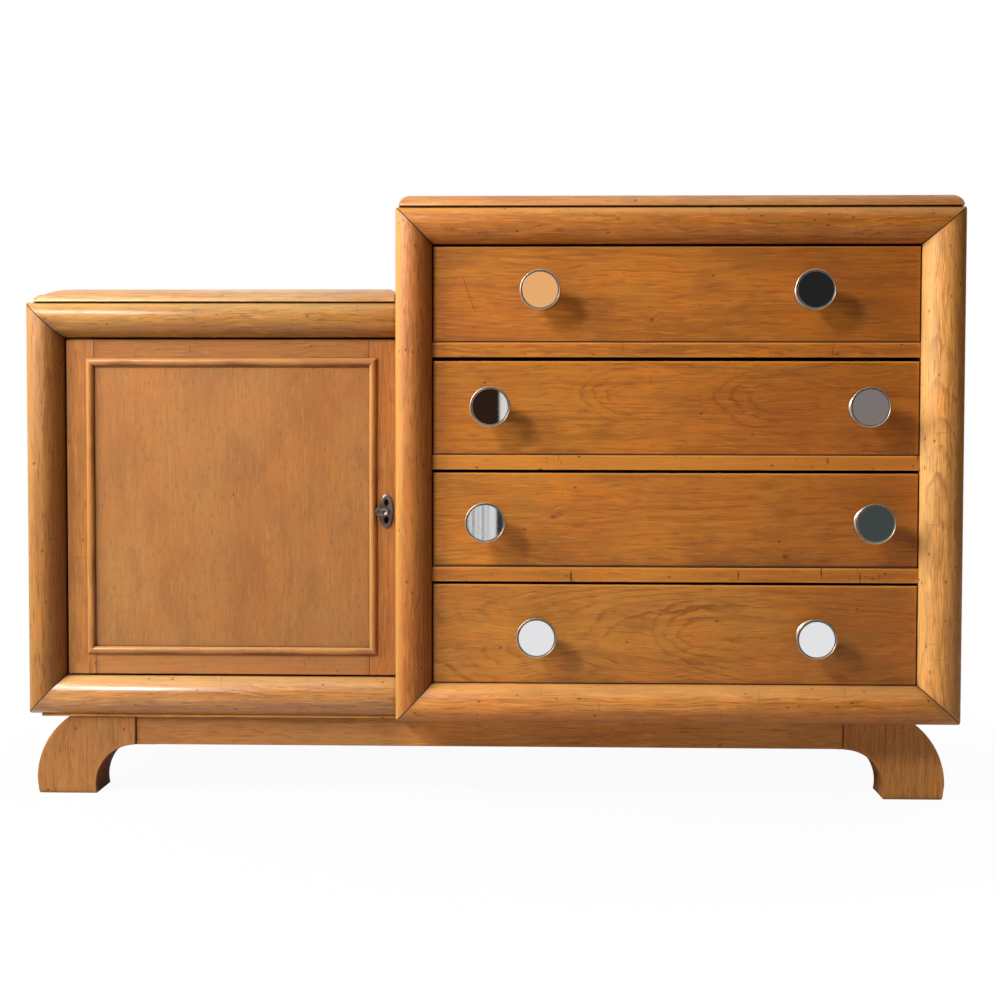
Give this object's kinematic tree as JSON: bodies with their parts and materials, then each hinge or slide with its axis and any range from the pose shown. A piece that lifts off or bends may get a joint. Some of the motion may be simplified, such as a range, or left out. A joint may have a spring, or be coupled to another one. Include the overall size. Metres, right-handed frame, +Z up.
{
  "type": "commode",
  "caption": "Stepped commode: a low cupboard with a framed door beside a taller chest of drawers, half-round mitred frames, flat metal knobs and bracket feet.",
  "frame": {"origin": "middle of the footprint, knobs included, on the floor under the feet", "axes": "+X to the viewer's right along the width, +Y back from the front, +Z up"},
  "size_m": [1.242, 0.476, 0.7995],
  "materials": {
    "frame_wood": "waxed golden wood, satin gloss",
    "top_wood": "waxed golden wood, satin gloss",
    "drawer_wood": "waxed orange-brown veneer, satin gloss",
    "door_wood": "waxed orange-brown wood, satin gloss",
    "panel_veneer": "waxed open-pored veneer, satin gloss",
    "case_wood": "waxed brown wood, satin",
    "base_wood": "waxed brown wood, satin",
    "inner_wood": "bare pale wood, matt",
    "back_board": "bare plywood, matt",
    "knob_chrome": "polished",
    "lock_nickel": "aged nickel plate",
    "lock_steel": "dull steel",
    "hinge_brass": "dull"
  },
  "bodies": {
    "carcass": {"chest_moulding_left": "frame_wood", "chest_moulding_right": "frame_wood", "chest_moulding_top": "frame_wood", "chest_moulding_bottom": "frame_wood", "cupboard_moulding_left": "frame_wood", "cupboard_moulding_top": "frame_wood", "cupboard_moulding_bottom": "frame_wood", "left_side": "case_wood", "right_side": "case_wood", "cupboard_floor": "inner_wood", "chest_floor": "inner_wood", "cupboard_back": "back_board", "chest_back": "back_board", "cupboard_shelf": "inner_wood", "shelf_battens": "inner_wood", "partition": "case_wood", "strike_plate": "lock_steel", "chest_top": "top_wood", "cupboard_top": "top_wood", "base_board": "base_wood", "front_left_foot": "base_wood", "front_right_foot": "base_wood", "rear_feet": "base_wood", "plinth_front_rail": "base_wood", "plinth_back_rail": "base_wood", "plinth_side_rails": "base_wood", "drawer_rails": "drawer_wood", "drawer_runners": "inner_wood", "drawer_guides": "inner_wood", "drawer_kickers": "inner_wood", "hinge_pivots": "hinge_brass"},
    "drawer_1": {"drawer_1_front": "drawer_wood", "drawer_1_sides": "inner_wood", "drawer_1_back": "inner_wood", "drawer_1_bottom": "inner_wood", "drawer_1_knobs": "knob_chrome"},
    "drawer_2": {"drawer_2_front": "drawer_wood", "drawer_2_sides": "inner_wood", "drawer_2_back": "inner_wood", "drawer_2_bottom": "inner_wood", "drawer_2_knobs": "knob_chrome"},
    "drawer_3": {"drawer_3_front": "drawer_wood", "drawer_3_sides": "inner_wood", "drawer_3_back": "inner_wood", "drawer_3_bottom": "inner_wood", "drawer_3_knobs": "knob_chrome"},
    "drawer_4": {"drawer_4_front": "drawer_wood", "drawer_4_sides": "inner_wood", "drawer_4_back": "inner_wood", "drawer_4_bottom": "inner_wood", "drawer_4_knobs": "knob_chrome"},
    "door": {"door_stiles": "door_wood", "door_rails": "door_wood", "door_panel": "panel_veneer", "door_bead": "door_wood", "hinge_sockets": "hinge_brass", "escutcheon": "lock_nickel", "lock_case": "lock_steel"},
    "lock_bolt": {"lock_bolt": "lock_steel"},
    "turn_lever": {"turn_lever": "lock_nickel"}
  },
  "joints": [
    {"name": "door_hinge", "type": "hinge", "parent": "carcass", "child": "door", "pos_m": [-0.5535, -0.149, 0.1635], "axis": [0, 0, -1], "range_deg": [0, 95]},
    {"name": "lever_turn", "type": "hinge", "parent": "door", "child": "turn_lever", "pos_m": [-0.136, -0.156, 0.3845], "axis": [0, 1, 0], "range_deg": [0, 90]},
    {"name": "bolt_slide", "type": "slide", "parent": "door", "child": "lock_bolt", "axis": [1, 0, 0], "range_m": [0, 0.01]},
    {"name": "drawer_1_slide", "type": "slide", "parent": "carcass", "child": "drawer_1", "axis": [0, -1, 0], "range_m": [0, 0.28]},
    {"name": "drawer_2_slide", "type": "slide", "parent": "carcass", "child": "drawer_2", "axis": [0, -1, 0], "range_m": [0, 0.28]},
    {"name": "drawer_3_slide", "type": "slide", "parent": "carcass", "child": "drawer_3", "axis": [0, -1, 0], "range_m": [0, 0.28]},
    {"name": "drawer_4_slide", "type": "slide", "parent": "carcass", "child": "drawer_4", "axis": [0, -1, 0], "range_m": [0, 0.28]}
  ],
  "couplings": [
    {"joint": "lever_turn", "follows": "bolt_slide", "rad_per_m": 157.08}
  ]
}
